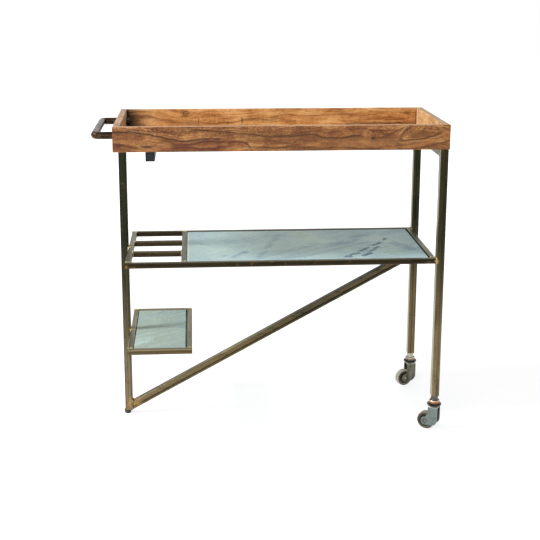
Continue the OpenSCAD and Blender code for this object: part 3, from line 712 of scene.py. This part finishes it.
def dowel_wood():
    tones = palette((190, 140, 90), (214, 166, 112), (226, 182, 128), (238, 198, 148))
    return wood("dowel_wood", tones, "xzy", seed=12.0, figure=0.3, speck=0.2)


GOLD_STAIN = tone(136, 98, 50)
HEAT = tone(176, 138, 78)
TOP_DUST_AND_SHEEN = tone(122, 127, 104)
OLD_GOLD = tone(104, 84, 52)


def leg_lines(lines, wear_and_sheen=None):
    """Darker lines drawn down a leg, each a place along X and a half width in mm and a strength.
    The last argument gives the tones, low and high up, of a painted highlight on the side that looks
    left."""

    def drawn(finish, colour, level):
        part = finish.split(finish.place)
        across = finish.swayed(part["x"], level, 2 * MM)
        for place, half, strength in lines:
            off = finish.sums("ABSOLUTE", finish.minus(across, place * MM))
            share = finish.step(off, 0.3 * half * MM, 1.2 * half * MM, strength, 0.0)
            colour = finish.blend(share, colour, finish.tinted(colour, tone(150, 148, 144)))
        # A painted highlight on faces that look left, paler low down.
        if wear_and_sheen:
            low, high = wear_and_sheen
            pale = finish.blend(finish.step(part["z"], 0.25, 0.60), low, high)
            left = finish.step(finish.split(finish.facing)["x"], -0.95, -0.60, 0.75, 0.0)
            colour = finish.blend(left, colour, pale)
        return colour

    return drawn


def left_leg_steel():
    """Bronze patina, with shade painted darker towards the tray, and heat where the shelves and brace
    are welded.
    """
    heights = stops((0.10, 124, 111, 88), (0.24, 100, 93, 72), (0.38, 66, 62, 47), (0.54, 38, 40, 27))
    tints = [
        ((-0.397, -0.011, 0.503), 0.009, HEAT),
        ((-0.399, -0.008, 0.262), 0.012, HEAT),
        ((-0.402, -0.008, 0.034), 0.026, HEAT),
    ]
    lines = leg_lines([(-402, 4, 0.5), (-411, 1.6, 0.35), (-419.5, 1.5, 0.5)])
    return patina("left_leg_steel", "z", heights, TOP_DUST_AND_SHEEN, OLD_GOLD, tints, over=lines)


def right_leg_steel(name, shades, tints, seed, lines):
    """Bronze patina, with shade painted darker towards the tray, and a painted highlight on the left.
    """
    heights = list(zip((0.12, 0.30, 0.42, 0.56), shades))
    drawn = leg_lines(lines, (tone(176, 172, 152), tone(138, 134, 108)))
    return patina(name, "z", heights, TOP_DUST_AND_SHEEN, OLD_GOLD, tints, seed=seed, over=drawn)


def front_leg_steel():
    shades = palette((126, 112, 84), (116, 102, 75), (82, 74, 52), (50, 46, 30))
    return right_leg_steel("front_leg_steel", shades, [((0.453, -0.184, 0.500), 0.009, HEAT)], 0.7,
                           [(467.0, 4.6, 0.5), (459.5, 0.9, 0.3), (473.8, 1.0, 0.5)])


def rear_leg_steel():
    # The rear leg's tones are darker than the front leg's: painted shade on the same steel.
    shades = palette((112, 98, 71), (100, 88, 62), (74, 66, 45), (45, 45, 29))
    return right_leg_steel("rear_leg_steel", shades, [((0.453, 0.175, 0.503), 0.014, GOLD_STAIN)], 1.9,
                           [(462.5, 3.2, 0.5), (472.5, 1.4, 0.6)])


def long_tube_steel():
    """Tones by height: the lower shelf's tubes, the main shelf's tubes, and the spine. Across each
    tube's front they paint pale lines along its edges as highlights.
    """
    heights = stops(
        (0.2480, 118, 103, 75),
        (0.2500, 94, 80, 54),
        (0.2555, 88, 75, 50),
        (0.2575, 74, 62, 40),
        (0.2595, 100, 86, 60),
        (0.2615, 142, 126, 96),
        (0.4945, 92, 80, 62),
        (0.4968, 40, 34, 21),
        (0.5065, 36, 32, 20),
        (0.5088, 60, 54, 38),
        (0.80, 48, 46, 34),
    )
    tints = [
        ((-0.398, -0.183, 0.498), 0.010, GOLD_STAIN),
        ((0.452, -0.183, 0.502), 0.008, HEAT),
    ]
    return patina("long_tube_steel", "x", heights, tone(100, 100, 80), tone(112, 84, 44), tints,
                  seed=1.3)


def rack_steel():
    # The paler lower and upper edges across the bars' fronts are painted highlights.
    heights = stops((0.4945, 60, 52, 34), (0.497, 44, 38, 24), (0.505, 50, 44, 28), (0.508, 80, 72, 50))
    return patina("rack_steel", "x", heights, tone(74, 72, 52), tone(118, 84, 46), seed=3.4)


def cross_tube_steel():
    # Darker higher up: painted shade under the tray.
    heights = stops((0.24, 112, 104, 78), (0.28, 112, 104, 78), (0.48, 80, 76, 58), (0.80, 60, 58, 44))
    shadow = tone(26, 24, 18)
    # A painted shadow of the left leg across the tops of both shelves' left tubes.
    tints = [((-0.393, 0.010, 0.509), 0.011, shadow), ((-0.393, 0.009, 0.2625), 0.011, shadow)]
    return patina("cross_tube_steel", "y", heights, tone(118, 117, 90), tone(116, 96, 60), tints,
                  seed=2.6)


def divider_steel():
    # Darker than the cross tubes: painted shade on the same steel.
    heights = stops((0.48, 64, 58, 40), (0.52, 64, 58, 40))
    return patina("divider_steel", "y", heights, tone(98, 102, 82), tone(116, 92, 54), seed=5.2)


# Where the brace's upper face meets the leg, by its height, and the shelf, by its place along X
BRACE_AT_LEG = 38.5 * MM
BRACE_AT_SHELF = 432 * MM


def brace_bands(tops, grooves):
    """A brown band, a dark line and an olive band along the brace. tops and grooves give the tones
    of its upper face and of the dark line by their height, darker towards the shelf: painted shade."""
    low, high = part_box("brace")
    at_leg = Vector((low.x, 0, BRACE_AT_LEG))
    along = Vector((BRACE_AT_SHELF, 0, high.z)) - at_leg
    slope = math.atan2(along.z, along.x)
    middle = at_leg - Vector((-math.sin(slope), 0, math.cos(slope))) * (high.y - low.y) / 2

    def drawn(finish, colour, level):
        height = finish.height()
        part = finish.split(finish.arrows("SUBTRACT", finish.place, middle))
        rise = finish.times(part["z"], math.cos(slope))
        across = finish.minus(rise, finish.times(part["x"], math.sin(slope)))
        across = finish.swayed(across, level, 3 * MM)
        olive = finish.tinted(colour, tone(232, 240, 228))
        colour = finish.blend(finish.step(across, -6 * MM, -4.5 * MM, 0.8, 0.0), colour, olive)
        colour = finish.blend(finish.upward(0.5, 0.8), colour, finish.ramp(height, tops))
        off = finish.sums("ABSOLUTE", finish.plus(across, 3.2 * MM))
        line = finish.step(off, 1 * MM, 3.4 * MM, 0.95, 0.0)
        return finish.blend(line, colour, finish.ramp(height, grooves))

    return drawn


def brace_steel():
    # Darker higher up, towards the shelf: painted shade.
    heights = stops((0.10, 112, 98, 72), (0.17, 104, 90, 62), (0.30, 74, 68, 50), (0.42, 80, 72, 52))
    tops = stops((0.08, 92, 82, 60), (0.17, 136, 130, 96), (0.30, 50, 48, 33), (0.42, 42, 39, 24))
    grooves = stops((0.10, 48, 44, 30), (0.18, 50, 45, 30), (0.30, 24, 21, 13), (0.42, 28, 23, 13))
    tints = [((-0.395, -0.005, 0.030), 0.035, HEAT), ((0.430, 0.0, 0.490), 0.03, GOLD_STAIN)]
    return patina("brace_steel", "x", heights, tone(142, 134, 100), tone(112, 90, 54), tints,
                  seed=4.1, over=brace_bands(tops, grooves))


def weld_metal(name, shades):
    """Brushed weld beads: pale metal, clouded brown by the heat."""
    finish = Finish(name, metallic=0.5, roughness=0.45)
    cloud = finish.clouds(finish.place, 220.0, 4.0, 0.6, 0.6)
    fine = finish.clouds(finish.place, 900.0, 3.0, 0.6)
    level = finish.swayed(cloud, fine, 0.5)
    colour = finish.ramp(level, list(zip((0.28, 0.42, 0.56, 0.72), shades)))
    rough = finish.step(level, 0.3, 0.7, 0.55, 0.35)
    return finish.done(colour, rough, fine, 0.2 * MM, 0.4)


def main_slab_stone():
    """Dark flecks to the right. Each line is its start, its end and its width in mm, and its
    strength."""
    blue = [
        ((187, -43), (321, 146), 34, 0.6),
        ((-108, -141), (-63, -69), 17, 0.9),
        ((-140, -120), (-120, -104), 10, 0.6),
        ((-39, -150), (32, 83), 15, 0.5),
        ((360, 10), (425, -110), 28, 0.5),
        ((-215, 40), (-185, 15), 11, 0.6),
        ((60, -60), (150, 20), 20, 0.4),
        ((-60, 40), (60, 110), 20, 0.4),
    ]
    flecks = [
        ((204, -148), (235, -108), 8.8, 1.0),
        ((216, -150), (226, -136), 6.8, 0.8),
        ((232, -123), (252, -103), 7.4, 0.9),
        ((255, -87), (287, -43), 8.8, 1.0),
        ((298, -28), (332, 7), 8.8, 1.0),
        ((298, -63), (318, -34), 7.4, 1.0),
        ((278, -94), (304, -69), 6.8, 0.8),
        ((254, -138), (287, -103), 10.8, 1.0),
        ((262, -124), (280, -112), 8.1, 0.9),
        ((340, 31), (357, 52), 7.4, 1.0),
        ((346, 50), (352, 62), 5.4, 0.7),
        ((268, -70), (276, -58), 4.5, 0.8),
        ((286, -86), (296, -74), 5, 0.7),
        ((310, -46), (322, -34), 4.5, 0.8),
        ((246, -96), (254, -84), 4.5, 0.7),
        ((286, -28), (298, -14), 4.5, 0.7),
        ((318, 2), (330, 16), 4.5, 0.6),
    ]
    scratches_and_highlights = [
        ((-205, 20), (-196, -8), 1.6, 0.6),
        ((-214, 90), (-150, 60), 1.4, 0.45),
        ((-60, -150), (-76, -120), 1.6, 0.7),
        ((-20, 60), (60, 48), 1.4, 0.5),
        ((-186, -60), (-170, -96), 1.2, 0.5),
        ((-120, 20), (-96, 44), 1.2, 0.5),
        ((340, -20), (372, -6), 1.4, 0.5),
        # A painted highlight along the slab's left edge.
        ((-230.5, -166), (-230.5, 166), 3.5, 0.8),
    ]
    return stone("main_slab_stone", tone(134, 152, 142), 0.70, flecks, blue, scratches_and_highlights)


def lower_slab_stone():
    blue = [
        ((-324, 130), (-306, 158), 8, 0.8),
        ((-375, -60), (-366, -52), 7, 0.6),
        ((-262, 0), (-244, 8), 6, 0.6),
    ]
    scratches_and_highlights = [((-270, -50), (-250, -40), 2, 0.3)]
    return stone("lower_slab_stone", tone(164, 178, 160), 0.9, blue_bands=blue,
                 scratches_and_highlights=scratches_and_highlights, seed=6.0)


# How far each caster is turned, in degrees
FRONT_TURN = -34
REAR_TURN = 20


def tray_finishes():
    """The materials of the tray and the slabs, each with the CAD nodes that wear it."""
    return [
        (front_board_wood(), "tray_front_board"),
        (rear_board_wood(), "tray_rear_board"),
        (left_board_wood(), "tray_left_board"),
        (right_board_wood(), "tray_right_board"),
        (plank_wood(), "tray_floor_planks"),
        (dowel_wood(), "tray_dowels"),
        (main_slab_stone(), "main_slab"),
        (lower_slab_stone(), "lower_slab"),
    ]


def frame_finishes():
    """The materials of the frame and the handle."""
    handle = moulded("handle_steel", tone(74, 54, 36), tone(26, 18, 11), 0.3, 0.85, 420.0,
                     wear=tone(128, 102, 74))
    fastener = moulded("fastener_steel", tone(84, 80, 76), tone(34, 31, 29), 0.4, 0.8)
    cap = moulded("cap_plastic", tone(48, 51, 54), tone(30, 32, 35), 0.6, shine=0.15)
    plug = moulded("plug_steel", tone(150, 150, 146), tone(106, 106, 102), 0.4, 0.8)
    glide = moulded("glide_plastic", tone(66, 60, 70), tone(42, 38, 46), 0.5)
    return [
        (left_leg_steel(), "left_leg"),
        (front_leg_steel(), "front_right_leg"),
        (rear_leg_steel(), "rear_right_leg"),
        (long_tube_steel(), "shelf_front_tube", "shelf_rear_tube", "lower_front_tube",
         "lower_rear_tube", "spine_stub", "spine_tube"),
        (cross_tube_steel(), "shelf_left_tube", "shelf_right_tube", "lower_left_tube",
         "lower_right_tube", "left_cross_tube", "right_cross_tube"),
        (rack_steel(), "rack_bars", "shelf_ledges", "lower_ledges"),
        (divider_steel(), "shelf_divider"),
        (brace_steel(), "brace"),
        (handle, "handle_tube"),
        (fastener, "tray_screws", "handle_studs", "handle_washers", "handle_nuts"),
        (cap, "cross_tube_caps"),
        (plug, "leg_plugs"),
        (glide, "glide_foot"),
    ]


def caster_finishes():
    """The materials of the casters: the rear one's nut, collar, fork and tyre are paler; its nut,
    collar and tyre are lit copies of the front one's tones, with the light painted in.
    """
    nut = moulded("nut_zinc", tone(116, 112, 108), tone(60, 60, 62), 0.4, 0.8,
                  wear=tone(140, 116, 96))
    # The rear nut painted paler: a lit copy.
    rear_nut = moulded("rear_nut_zinc", tone(206, 200, 184), tone(140, 132, 116), 0.4, 0.8)
    copper = banded("front_collar_copper", "front_caster_collar", tone(104, 78, 66),
                    tone(236, 214, 186), tone(178, 118, 76), tone(170, 138, 110))
    # The rear collar painted paler: a lit copy.
    taupe = banded("rear_collar_copper", "rear_caster_collar", tone(108, 94, 82),
                   tone(230, 226, 214), tone(150, 126, 108), tone(206, 196, 178))
    front_fork = fork_zinc("front", tone(122, 135, 131), tone(98, 110, 107), FRONT_TURN,
                           (30, 30, 30))
    rear_fork = fork_zinc("rear", tone(122, 120, 105), tone(66, 67, 58), REAR_TURN, (90, 90, 14))
    axle = moulded("axle_steel", tone(170, 146, 132), tone(112, 94, 84), 0.4, 0.8)
    ball = moulded("ball_steel", tone(214, 214, 214), tone(180, 180, 180), 0.2, 0.95)
    bush = moulded("bush_plastic", tone(146, 144, 138), tone(118, 116, 110), 0.5)
    wheel = moulded("wheel_plastic", tone(62, 53, 40), tone(34, 28, 20), 0.42)
    front_tyre = tyre_rubber("front_tyre_rubber", tone(168, 160, 144), tone(120, 112, 98),
                             FRONT_TURN)
    # The rear tread painted near white for the light that falls on it.
    rear_tyre = tyre_rubber("rear_tyre_rubber", tone(252, 248, 234), tone(214, 208, 190),
                            REAR_TURN)
    return [
        (nut, "front_caster_nut", "front_caster_stem", "rear_caster_stem"),
        (rear_nut, "rear_caster_nut"),
        (copper, "front_caster_collar"),
        (taupe, "rear_caster_collar"),
        (ball, "front_caster_balls", "rear_caster_balls"),
        (dish_zinc(), "front_caster_dish", "rear_caster_dish"),
        (front_fork, "front_fork"),
        (rear_fork, "rear_fork"),
        (axle, "front_axle", "rear_axle"),
        (bush, "front_wheel_bush", "rear_wheel_bush"),
        (wheel, "front_wheel", "rear_wheel"),
        (front_tyre, "front_tyre"),
        (rear_tyre, "rear_tyre"),
    ]


# ---------- Pieces ----------


# How far the slabs' edges are eased, and the angle in radians from which an edge stays crisp
EASED = 1.1 * MM
CRISP = 0.35


def made(name, mesh, material, body):
    """Turns a finished bmesh into a piece that rides on a body."""
    data = bpy.data.meshes.new(name)
    mesh.to_mesh(data)
    mesh.free()
    piece = bpy.data.objects.new(name, data)
    bpy.context.scene.collection.objects.link(piece)
    data.materials.append(material)
    for face in data.polygons:
        face.use_smooth = True
    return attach(piece, body)


def stone_plate(name, node, body, material):
    """A slab with eased edges in place of its CAD solid, its faces kept flat."""
    low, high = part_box(node)
    mesh = bmesh.new()
    bmesh.ops.create_cube(mesh, size=1.0)
    bmesh.ops.scale(mesh, vec=high - low, verts=mesh.verts)
    bmesh.ops.translate(mesh, vec=(high + low) / 2, verts=mesh.verts)
    bmesh.ops.bevel(mesh, geom=mesh.edges[:], offset=EASED, segments=3, profile=0.5,
                    affect="EDGES", material=-1)
    mesh.normal_update()
    for edge in mesh.edges:
        edge.smooth = edge.calc_face_angle() <= CRISP
    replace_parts(made(name, mesh, material, body), node)


def ripple(mesh, place, along, radius, chance):
    """One ripple of a weld: a small flattened ball, a little uneven."""
    turn = along.to_track_quat("Z", "Y").to_matrix().to_4x4()
    size = radius * chance.uniform(0.88, 1.1)
    shape = Matrix.Diagonal((1.0, chance.uniform(0.85, 1.0), 0.62, 1.0))
    spot = Matrix.Translation(place) @ turn @ shape
    ball = bmesh.ops.create_icosphere(mesh, subdivisions=2, radius=size, matrix=spot)
    for vert in ball["verts"]:
        vert.co += noise.noise_vector(vert.co * 420) * radius * 0.16


def welds(name, seams, material, radius, seed):
    """Weld beads along the seams, each a start and an end in mm, from ripples that overlap."""
    chance = random.Random(seed)
    noise.seed_set(seed)  # or the noise starts from the clock, and differs in each run
    mesh = bmesh.new()
    size = radius * MM
    for start, end in seams:
        first, last = Vector(start) * MM, Vector(end) * MM
        run = last - first
        count = max(2, round(run.length / (size * 0.75)))
        for number in range(count + 1):
            astray = Vector([chance.uniform(-most, most) for most in (0.25, 0.25, 0.2)])
            place = first + run * (number / count) + astray * MM
            ripple(mesh, place, run.normalized(), size, chance)
    made(name, mesh, material, FRAME_BODY)


def corners(node):
    """A node's lowest and highest corners, in mm."""
    return [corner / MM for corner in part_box(node)]


# Where the beads run, in mm: beside the left leg, beside the right legs, on top of both shelves'
# tubes, and under the tray.
LEFT_LEG_SIDE = -399
RIGHT_LEG_SIDE = 452.9
SHELF_TOP = 509
LOWER_SHELF_TOP = 262.5
UNDER_TRAY = 791.5


def mirrored(seams):
    """The seams and their mirror images behind the middle."""
    flipped = [((a[0], -a[1], a[2]), (b[0], -b[1], b[2])) for a, b in seams]
    return seams + flipped


def over_end(left, right, top):
    """A seam over the front end of a shelf's tube that runs from front to back."""
    return (left, -168, top), (right, -168, top)


def main_shelf_leg_weld(material):
    """The shelf's left tube on the left leg."""
    side, top = LEFT_LEG_SIDE, SHELF_TOP
    seams = [
        ((side, -10, top), (side, 10, top)),
        ((side, -11, top - 14), (side, -11, top - 1)),
        ((side + 3, -12, top), (side + 10, -9, top)),
        ((side + 3, -7, top), (side + 8, -5, top)),
    ]
    welds("main_shelf_leg_weld", seams, material, 3.0, 4)


def main_shelf_welds(material):
    """The shelf's corners, its divider, and the shelf on the right legs."""
    side, top = RIGHT_LEG_SIDE, SHELF_TOP
    seams = [
        over_end(-398, -385, top),
        over_end(438.5, 452, top),
        ((side, -182, top), (side, -169, top)),
        ((side, -183, top - 13.5), (side, -183, top - 1)),
        ((side, -167, top), (side, -162, top)),
        over_end(-247, -234.5, top),
    ]
    welds("main_shelf_welds", mirrored(seams), material, 2.2, 3)


def rack_welds(material):
    """Both ends of the bars, on top and on their outer sides."""
    top = SHELF_TOP
    seams = []
    for x in (-384.1, -248.1):
        seams.append(((x, -65, top), (x, -52, top)))
        seams.append(((x, -66, top - 13), (x, -66, top - 2)))
    welds("rack_welds", mirrored(seams), material, 1.9, 5)


def lower_shelf_welds(material):
    """The lower shelf on the left leg, and its corners."""
    side, top = LEFT_LEG_SIDE, LOWER_SHELF_TOP
    leg = [
        ((side, -10, top), (side, 10, top)),
        ((side, -11, top - 13.5), (side, -11, top - 1.5)),
        ((side + 3, -10, top), (side + 8, -8, top)),
    ]
    ends = [over_end(-398, -385, top), over_end(-235, -222.5, top)]
    welds("lower_shelf_welds", leg + mirrored(ends), material, 2.0, 7)


def brace_foot_welds(material):
    """Heavy lumps where the brace meets the foot of the leg."""
    side = LEFT_LEG_SIDE
    above = ((side + 0.5, -10, 39.5), (side + 0.5, 10, 39.5))
    beside = [((side, y, 16), (side, y, 38)) for y in (-10.6, 10.6)]
    welds("brace_foot_welds", [above] + beside, material, 2.8, 11)


def brace_top_welds(material):
    """Lighter beads under the shelf."""
    seams = [((436, y, 493.5), (451, y, 493.5)) for y in (-11, 11)]
    welds("brace_top_welds", seams, material, 2.2, 13)


def tray_frame_welds(material):
    """Under the tray: both ends of the spine's two tubes, and the cross tube on the right legs."""
    side, under = RIGHT_LEG_SIDE, UNDER_TRAY
    spine = [((x, -10, under), (x, 10, under)) for x in (LEFT_LEG_SIDE, -337.6, -312.6, side)]
    legs = [
        ((453.5, -161, under), (474, -161, under)),
        ((side, -161, 793), (side, -161, 811)),
    ]
    welds("tray_frame_welds", spine + mirrored(legs), material, 2.2, 17)


# ---------- Stage, lights and camera ----------


FLOOR_RADIUS = 14.0
# How much light the sky gives, and how much of its own the floor shows near the trolley
SKY_LIGHT = 0.33
FLOOR_GLOW = 0.625


def white_share(tree):
    """1 for what the camera sees directly or in a reflection, 0 for the light that falls on things."""
    path = tree.nodes.new("ShaderNodeLightPath")
    seen = path.outputs["Is Camera Ray"]
    for name in ("Is Glossy Ray", "Is Transmission Ray"):
        node = tree.nodes.new("ShaderNodeMath")
        node.operation = "MAXIMUM"
        tree.links.new(seen, node.inputs[0])
        tree.links.new(path.outputs[name], node.inputs[1])
        seen = node.outputs[0]
    return seen


def studio_world():
    """White where it is seen, and dimmer where it lights things."""
    world = bpy.data.worlds.new("studio")
    bpy.context.scene.world = world
    world.use_nodes = True
    tree = world.node_tree
    sky = tree.nodes["Background"]
    sky.inputs["Color"].default_value = (1, 1, 1, 1)
    strength = tree.nodes.new("ShaderNodeMapRange")
    strength.inputs["To Min"].default_value = SKY_LIGHT
    strength.inputs["To Max"].default_value = 1.0
    tree.links.new(white_share(tree), strength.inputs["Value"])
    tree.links.new(strength.outputs["Result"], sky.inputs["Strength"])


def studio_floor():
    """A white floor that keeps the trolley's shadow and runs into the white backdrop."""
    mesh = bmesh.new()
    bmesh.ops.create_circle(mesh, cap_ends=True, segments=96, radius=FLOOR_RADIUS)
    data = bpy.data.meshes.new("studio_floor")
    mesh.to_mesh(data)
    mesh.free()
    floor = bpy.data.objects.new("studio_floor", data)
    bpy.context.scene.collection.objects.link(floor)
    finish = Finish("studio_floor", roughness=0.9, shine=0.0)
    away = finish.arrows("LENGTH", finish.place, (0, 0, 0))
    glow = finish.step(away, 0.9, 3.0, FLOOR_GLOW, 1.0)
    finish.put(finish.shader, {
        "Base Color": (0.9, 0.9, 0.9, 1),
        "Emission Color": (1, 1, 1, 1),
        "Emission Strength": finish.times(glow, white_share(finish.tree)),
    })
    data.materials.append(finish.material)


def lamp(name, place, aim, size, power):
    """A square lamp that looks from its place at its aim."""
    data = bpy.data.lights.new(name, "AREA")
    data.shape = "SQUARE"
    data.size = size
    data.energy = power
    light = bpy.data.objects.new(name, data)
    bpy.context.scene.collection.objects.link(light)
    light.location = place
    light.rotation_euler = (Vector(aim) - Vector(place)).to_track_quat("-Z", "Y").to_euler()


def photo_camera():
    """The photograph's view: from the front, a little left of the middle, from above the tray."""
    data = bpy.data.cameras.new("camera")
    data.lens = 70.7
    data.sensor_width = 36.0
    data.shift_x = 0.0036
    data.shift_y = -0.12
    data.clip_end = 60.0
    camera = bpy.data.objects.new("camera", data)
    bpy.context.scene.collection.objects.link(camera)
    camera.location = (-0.2097, -2.9573, 1.2884)
    aside, down, askew = (math.radians(angle) for angle in (4.06, 12.62, 0.15))
    yaw = Matrix.Rotation(-aside, 4, "Z")
    pitch = Matrix.Rotation(math.pi / 2 - down, 4, "X")
    roll = Matrix.Rotation(askew, 4, "Z")
    camera.rotation_euler = (yaw @ pitch @ roll).to_euler()
    bpy.context.scene.camera = camera


# ---------- The trolley ----------

for material, *names in tray_finishes() + frame_finishes() + caster_finishes():
    for name in names:
        slots = NODES[name].data.materials
        for number in range(len(slots)):
            slots[number] = material

for slab in ("main_slab", "lower_slab"):
    stone_plate(slab + "_eased", slab, slab + "_plate", bpy.data.materials[slab + "_stone"])

BEAD_SHADES = palette((104, 82, 50), (170, 150, 98), (212, 202, 156), (236, 234, 212))
FOOT_BEAD_SHADES = palette((64, 54, 36), (98, 86, 60), (130, 116, 84), (176, 164, 128))
bead = weld_metal("weld_metal", BEAD_SHADES)
foot_bead = weld_metal("foot_weld_metal", FOOT_BEAD_SHADES)
main_shelf_leg_weld(bead)
main_shelf_welds(bead)
rack_welds(bead)
lower_shelf_welds(bead)
brace_foot_welds(foot_bead)
brace_top_welds(bead)
tray_frame_welds(bead)

studio_world()
studio_floor()
lamp("key_lamp", place=(-4.05, -0.675, 3.83), aim=(0, 0, 0.6), size=1.05, power=184.0)
lamp("front_lamp", place=(-1.3, -3.7, 2.0), aim=(0, 0, 0.5), size=2.4, power=48.0)
photo_camera()

settings = bpy.context.scene.view_settings
settings.view_transform = "Standard"
